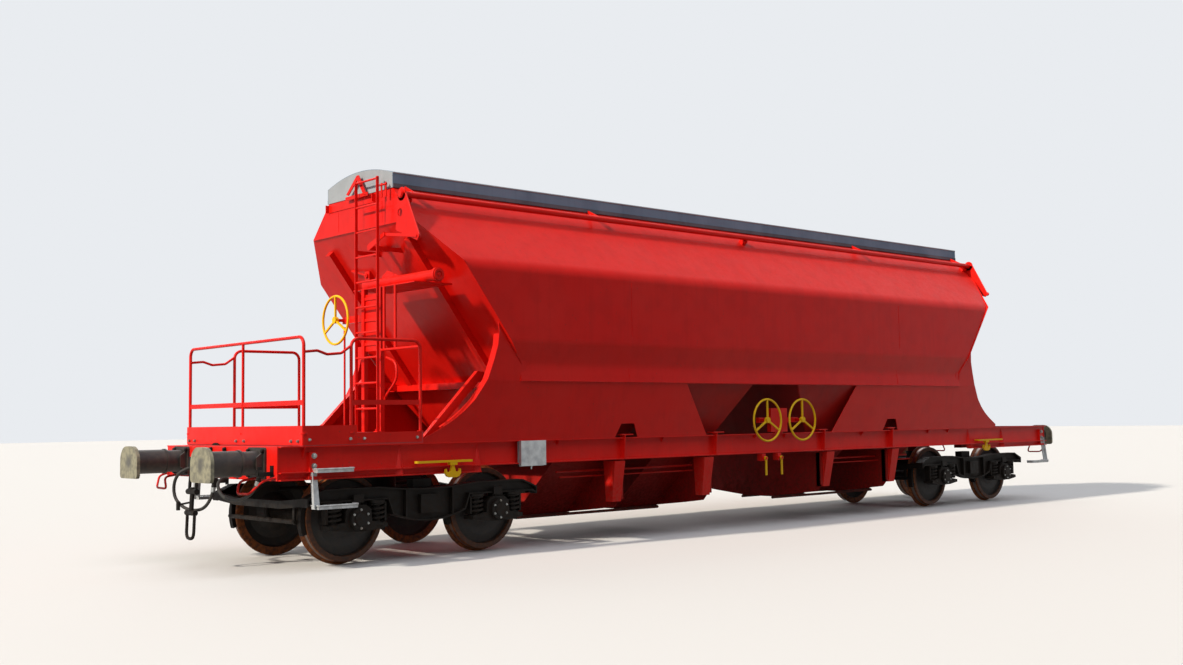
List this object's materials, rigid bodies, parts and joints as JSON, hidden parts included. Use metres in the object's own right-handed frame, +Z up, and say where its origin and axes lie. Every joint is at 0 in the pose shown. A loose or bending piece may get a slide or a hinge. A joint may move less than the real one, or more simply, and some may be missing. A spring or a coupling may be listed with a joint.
{
  "type": "covered hopper wagon",
  "caption": "Covered bogie hopper rail wagon: sloped hollow body, roof that turns aside, floor gates between the rails, buffers, end platform with ladder.",
  "frame": {"origin": "middle of the wagon's length and width, at the height of the wheel flanges' lowest points", "axes": "+X along the wagon towards the end without a platform, +Y towards the left side, +Z up"},
  "size_m": [15.8, 3.028, 4.3478],
  "materials": {
    "red": "satin",
    "grey": "matte",
    "yellow": "satin",
    "black": "matte",
    "steel": "galvanised",
    "bare": "rusty",
    "rubber": "matte"
  },
  "bodies": {
    "wagon": {"apron_left": "red", "apron_right": "red", "bolsters": "red", "brake_cocks": "black", "brake_wheel": "yellow", "buffers_brake": "black", "buffers_plain": "black", "centre_sills": "red", "cross_members": "red", "cross_walls_brake": "red", "cross_walls_plain": "red", "document_box": "steel", "draw_hooks": "black", "end_frame_brake": "red", "end_frame_plain": "red", "end_gear": "red", "end_wall_brake": "red", "end_wall_plain": "red", "gear_boxes": "red", "handrails": "red", "headstock_brake": "red", "headstock_plain": "red", "hose_left": "rubber", "hose_right": "rubber", "ladder": "steel", "mouth_frame": "grey", "platform": "red", "rope_hooks": "yellow", "saddles": "red", "shaft_blocks": "red", "shoulder_sheet_left": "red", "shoulder_sheet_right": "red", "side_slope_left": "red", "side_slope_right": "red", "side_wall_left": "red", "side_wall_right": "red", "side_wheels": "yellow", "sole_bar_left": "red", "sole_bar_right": "red", "steps": "steel", "wing_flanges": "red"},
    "roof": {"roof_skin": "grey", "roof_ends": "grey", "roof_shaft": "red"},
    "gate_brake_right": {"gate_brake_right": "bare"},
    "gate_brake_left": {"gate_brake_left": "bare"},
    "gate_plain_right": {"gate_plain_right": "bare"},
    "gate_plain_left": {"gate_plain_left": "bare"},
    "bogie_brake": {"bogie_frame_brake": "black", "axle_boxes_brake": "black"},
    "bogie_plain": {"bogie_frame_plain": "black", "axle_boxes_plain": "black"},
    "wheelset_1": {"wheels_1": "bare", "axle_1": "bare"},
    "wheelset_2": {"wheels_2": "bare", "axle_2": "bare"},
    "wheelset_3": {"wheels_3": "bare", "axle_3": "bare"},
    "wheelset_4": {"wheels_4": "bare", "axle_4": "bare"}
  },
  "joints": [
    {"name": "roof_turn", "type": "hinge", "parent": "wagon", "child": "roof", "pos_m": [0, -0.931, 3.954], "axis": [1, 0, 0], "range_deg": [0, 110]},
    {"name": "gate_brake_right_turn", "type": "hinge", "parent": "wagon", "child": "gate_brake_right", "pos_m": [-2.39, -0.29, 0.2957], "axis": [-1, 0, 0], "range_deg": [0, 60]},
    {"name": "gate_brake_left_turn", "type": "hinge", "parent": "wagon", "child": "gate_brake_left", "pos_m": [-2.39, 0.29, 0.2957], "axis": [1, 0, 0], "range_deg": [0, 60]},
    {"name": "bogie_brake_swivel", "type": "hinge", "parent": "wagon", "child": "bogie_brake", "pos_m": [-5.38, 0, 0.86], "axis": [0, 0, 1], "range_deg": [-5, 5]},
    {"name": "gate_plain_right_turn", "type": "hinge", "parent": "wagon", "child": "gate_plain_right", "pos_m": [2.39, -0.29, 0.2957], "axis": [-1, 0, 0], "range_deg": [0, 60]},
    {"name": "gate_plain_left_turn", "type": "hinge", "parent": "wagon", "child": "gate_plain_left", "pos_m": [2.39, 0.29, 0.2957], "axis": [1, 0, 0], "range_deg": [0, 60]},
    {"name": "bogie_plain_swivel", "type": "hinge", "parent": "wagon", "child": "bogie_plain", "pos_m": [5.38, 0, 0.86], "axis": [0, 0, 1], "range_deg": [-5, 5]},
    {"name": "wheelset_1_turn", "type": "hinge", "parent": "bogie_brake", "child": "wheelset_1", "pos_m": [-6.28, 0, 0.49], "axis": [0, 1, 0], "continuous": true},
    {"name": "wheelset_2_turn", "type": "hinge", "parent": "bogie_brake", "child": "wheelset_2", "pos_m": [-4.48, 0, 0.49], "axis": [0, 1, 0], "continuous": true},
    {"name": "wheelset_3_turn", "type": "hinge", "parent": "bogie_plain", "child": "wheelset_3", "pos_m": [4.48, 0, 0.49], "axis": [0, 1, 0], "continuous": true},
    {"name": "wheelset_4_turn", "type": "hinge", "parent": "bogie_plain", "child": "wheelset_4", "pos_m": [6.28, 0, 0.49], "axis": [0, 1, 0], "continuous": true}
  ]
}
